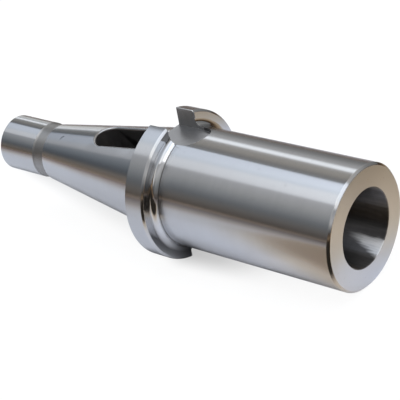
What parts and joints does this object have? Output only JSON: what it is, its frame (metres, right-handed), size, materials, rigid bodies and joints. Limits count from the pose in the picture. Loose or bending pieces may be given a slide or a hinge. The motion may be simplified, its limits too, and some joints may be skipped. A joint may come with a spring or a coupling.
{
  "type": "reducing sleeve",
  "caption": "Steel tool-holder sleeve with a 7:24 taper shank and driving flange behind, and a Morse taper socket with a drift slot in its nose.",
  "frame": {"origin": "centre of the shank's gauge plane, on the axis", "axes": "+X along the axis towards the nose, +Z through the middle of one drive notch, +Y to the side, so that it lies as in the picture"},
  "size_m": [0.1884, 0.063, 0.0608],
  "materials": {
    "ground_steel": "ground and turned bare steel, bright, with fine marks that run round the axis"
  },
  "bodies": {
    "root": {"reducing_sleeve": "ground_steel"}
  },
  "joints": []
}
